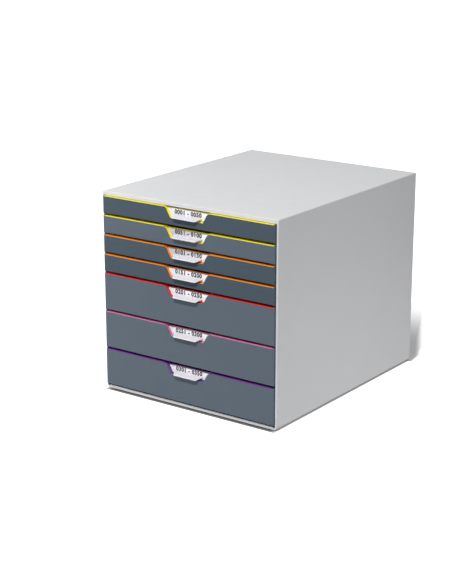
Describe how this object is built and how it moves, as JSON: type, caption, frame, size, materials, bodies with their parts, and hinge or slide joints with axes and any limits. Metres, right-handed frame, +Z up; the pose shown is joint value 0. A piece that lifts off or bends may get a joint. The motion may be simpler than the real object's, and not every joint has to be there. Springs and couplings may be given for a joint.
{
  "type": "desk drawer unit",
  "caption": "Desk drawer unit: light grey plastic housing with a stack of shallow and deep coloured trays that slide out, each with a blue-grey front, a label notch and a clear grip lip.",
  "frame": {"origin": "on the desk, under the middle of the unit's whole box, grip lips included", "axes": "+X to the right seen from the front, +Y from the front to the back, +Z up"},
  "size_m": [0.292, 0.365, 0.288],
  "materials": {
    "housing_grey": "satin",
    "runner_grey": "satin",
    "front_grey": "satin",
    "grip_clear": "cloudy clear",
    "tray_yellow": "satin",
    "tray_orange": "satin",
    "tray_red": "satin",
    "tray_pink": "satin",
    "tray_purple": "satin",
    "label_white": "paper card",
    "window_clear": "clear",
    "foot_rubber": "matte"
  },
  "bodies": {
    "housing": {"housing_shell": "housing_grey", "back_panel": "housing_grey", "left_runners": "runner_grey", "right_runners": "runner_grey", "foot_front_left": "foot_rubber", "foot_front_right": "foot_rubber", "foot_back_left": "foot_rubber", "foot_back_right": "foot_rubber"},
    "drawer_1": {"tray_1": "tray_yellow", "front_panel_1": "front_grey", "label_1": "label_white", "label_window_1": "window_clear", "grip_1": "grip_clear"},
    "drawer_2": {"tray_2": "tray_yellow", "front_panel_2": "front_grey", "label_2": "label_white", "label_window_2": "window_clear", "grip_2": "grip_clear"},
    "drawer_3": {"tray_3": "tray_orange", "front_panel_3": "front_grey", "label_3": "label_white", "label_window_3": "window_clear", "grip_3": "grip_clear"},
    "drawer_4": {"tray_4": "tray_orange", "front_panel_4": "front_grey", "label_4": "label_white", "label_window_4": "window_clear", "grip_4": "grip_clear"},
    "drawer_5": {"tray_5": "tray_red", "front_panel_5": "front_grey", "label_5": "label_white", "label_window_5": "window_clear", "grip_5": "grip_clear"},
    "drawer_6": {"tray_6": "tray_pink", "front_panel_6": "front_grey", "label_6": "label_white", "label_window_6": "window_clear", "grip_6": "grip_clear"},
    "drawer_7": {"tray_7": "tray_purple", "front_panel_7": "front_grey", "label_7": "label_white", "label_window_7": "window_clear", "grip_7": "grip_clear"}
  },
  "joints": [
    {"name": "drawer_1_slide", "type": "slide", "parent": "housing", "child": "drawer_1", "axis": [0, -1, 0], "range_m": [0, 0.2665]},
    {"name": "drawer_2_slide", "type": "slide", "parent": "housing", "child": "drawer_2", "axis": [0, -1, 0], "range_m": [0, 0.2665]},
    {"name": "drawer_3_slide", "type": "slide", "parent": "housing", "child": "drawer_3", "axis": [0, -1, 0], "range_m": [0, 0.2665]},
    {"name": "drawer_4_slide", "type": "slide", "parent": "housing", "child": "drawer_4", "axis": [0, -1, 0], "range_m": [0, 0.2665]},
    {"name": "drawer_5_slide", "type": "slide", "parent": "housing", "child": "drawer_5", "axis": [0, -1, 0], "range_m": [0, 0.2665]},
    {"name": "drawer_6_slide", "type": "slide", "parent": "housing", "child": "drawer_6", "axis": [0, -1, 0], "range_m": [0, 0.2665]},
    {"name": "drawer_7_slide", "type": "slide", "parent": "housing", "child": "drawer_7", "axis": [0, -1, 0], "range_m": [0, 0.2665]}
  ]
}
